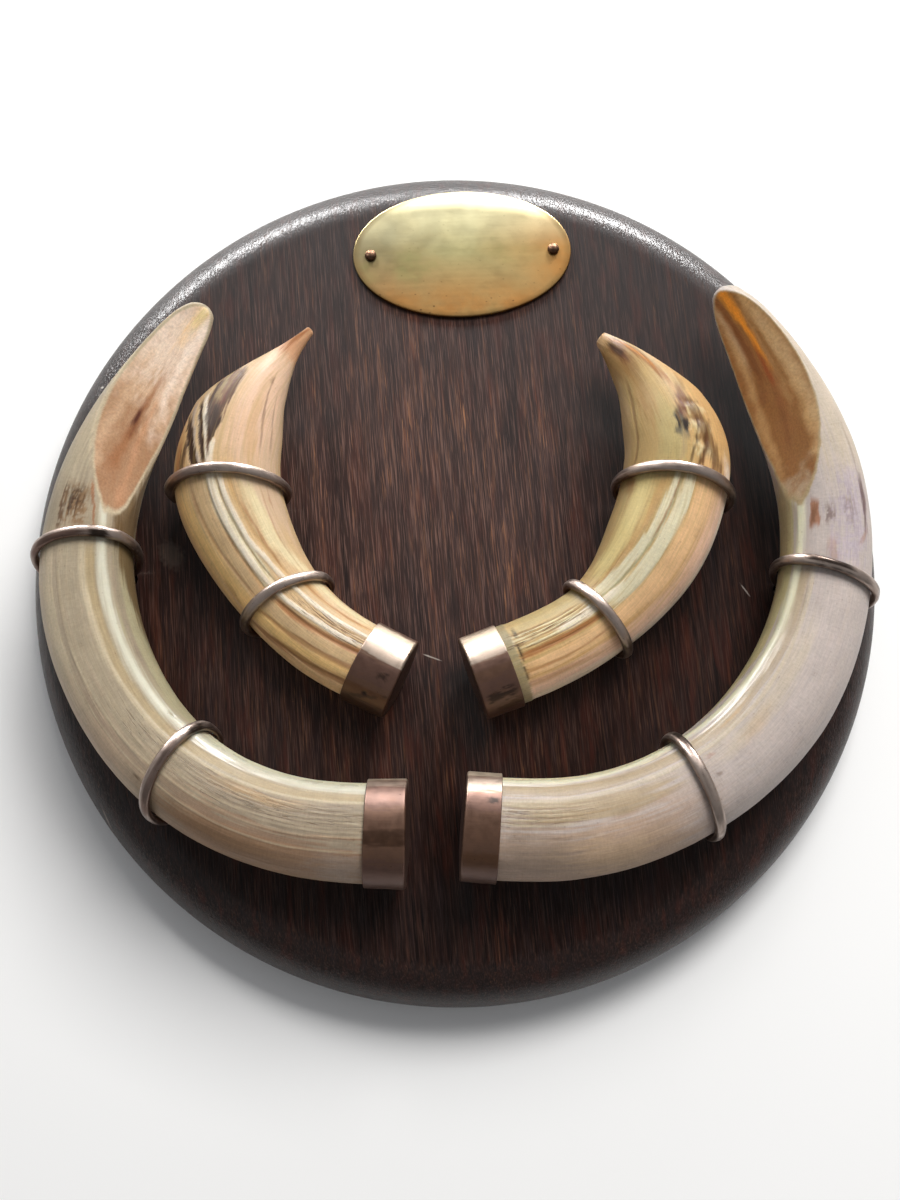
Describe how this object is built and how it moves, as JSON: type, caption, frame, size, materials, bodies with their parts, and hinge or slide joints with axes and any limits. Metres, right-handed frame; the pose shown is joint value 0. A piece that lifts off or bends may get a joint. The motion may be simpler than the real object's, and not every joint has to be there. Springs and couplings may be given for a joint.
{
  "type": "mounted warthog tusks",
  "caption": "Round dark wood plaque with curved warthog tusks in worn metal end caps, held down by bent wire hoops, and a bare oval brass name plate.",
  "frame": {"origin": "centre of the plaque's flat back, where it meets the wall or the table", "axes": "+Z out of the plaque's face, +Y towards the name plate, +X to the right with the name plate at the top"},
  "size_m": [0.28, 0.2834, 0.0587],
  "materials": {
    "wood": "very dark brown varnished hardwood, satin, with open pores and dust",
    "upper_ivory": "cream and grey tooth ivory, satin, with long grooves, stains and an orange worn facet",
    "lower_ivory": "golden tooth ivory, satin, with pale ridges and brown streaks",
    "silver": "worn silver plate over copper, tarnished and spotted",
    "wire": "tarnished silvered wire, purple-grey with black spots",
    "brass": "satin brass, finely brushed, with faint stains",
    "bronze": "darkened round pin heads"
  },
  "bodies": {
    "root": {"upper_tusk_left": "upper_ivory", "upper_tusk_right": "upper_ivory", "lower_tusk_left": "lower_ivory", "lower_tusk_right": "lower_ivory", "upper_cap_left": "silver", "upper_cap_right": "silver", "lower_cap_left": "silver", "lower_cap_right": "silver", "upper_hoop_left_base": "wire", "upper_hoop_left_tip": "wire", "upper_hoop_right_base": "wire", "upper_hoop_right_tip": "wire", "lower_hoop_left_base": "wire", "lower_hoop_left_tip": "wire", "lower_hoop_right_base": "wire", "lower_hoop_right_tip": "wire", "plaque": "wood", "name_plate": "brass", "plate_pin_left": "bronze", "plate_pin_right": "bronze"}
  },
  "joints": []
}
